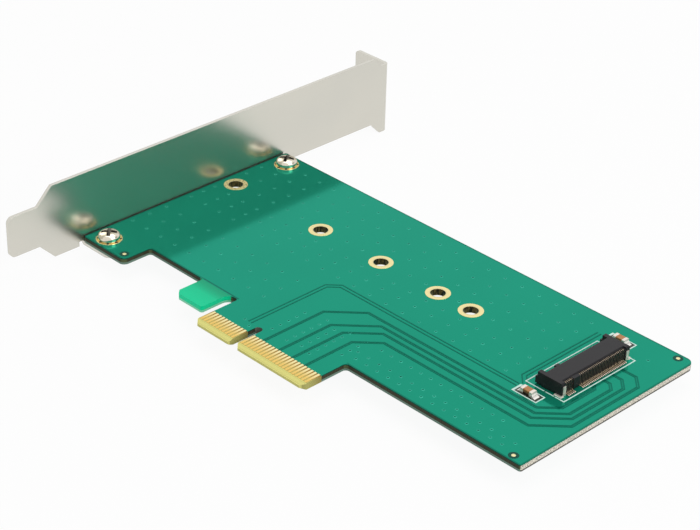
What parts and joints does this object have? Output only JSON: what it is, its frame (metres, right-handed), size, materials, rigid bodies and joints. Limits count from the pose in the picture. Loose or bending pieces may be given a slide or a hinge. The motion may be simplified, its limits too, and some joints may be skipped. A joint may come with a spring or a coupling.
{
  "type": "nvme adapter card",
  "caption": "Green adapter board behind a full-height slot bracket, with an edge connector, a black module socket and a line of plated holes for the module's free end.",
  "frame": {"origin": "centre of the card edge's key notch, at the tip of the edge and the middle of the board's thickness", "axes": "+X along the board away from the bracket, +Y from the card edge into the board, +Z out of the component side"},
  "size_m": [0.14, 0.1201, 0.0216],
  "materials": {
    "solder_mask": "green epoxy solder mask on glass-epoxy laminate",
    "bracket_steel": "nickel-plated steel sheet, semi-gloss",
    "screw_nickel": "nickel-plated steel",
    "gold": "immersion gold over copper",
    "contact_gold": "hard gold over copper",
    "traces": "copper conductors under green solder mask",
    "housing": "black moulded resin",
    "tin": "tinned copper alloy",
    "solder": "bright solder",
    "ceramic": "tan fired ceramic"
  },
  "bodies": {
    "root": {"board": "solder_mask", "bracket": "bracket_steel", "bracket_screws": "screw_nickel", "capacitor_far_body": "ceramic", "capacitor_far_left_end": "tin", "capacitor_far_left_joint": "solder", "capacitor_far_right_end": "tin", "capacitor_far_right_joint": "solder", "capacitor_near_body": "ceramic", "capacitor_near_left_end": "tin", "capacitor_near_left_joint": "solder", "capacitor_near_right_end": "tin", "capacitor_near_right_joint": "solder", "clock_conductors": "traces", "edge_contacts_component_side": "contact_gold", "edge_contacts_solder_side": "contact_gold", "hold_down_far": "tin", "hold_down_near": "tin", "hold_down_pad_far": "solder", "hold_down_pad_near": "solder", "lane_1_conductors": "traces", "lane_2_conductors": "traces", "lane_3_conductors": "traces", "lane_4_conductors": "traces", "module_hole_110": "gold", "module_hole_32": "gold", "module_hole_42": "gold", "module_hole_60": "gold", "module_hole_80": "gold", "screw_land_lower": "gold", "screw_land_upper": "gold", "sideband_conductors": "traces", "socket_front_contacts": "tin", "socket_housing": "housing", "socket_rear_contacts": "tin"}
  },
  "joints": []
}
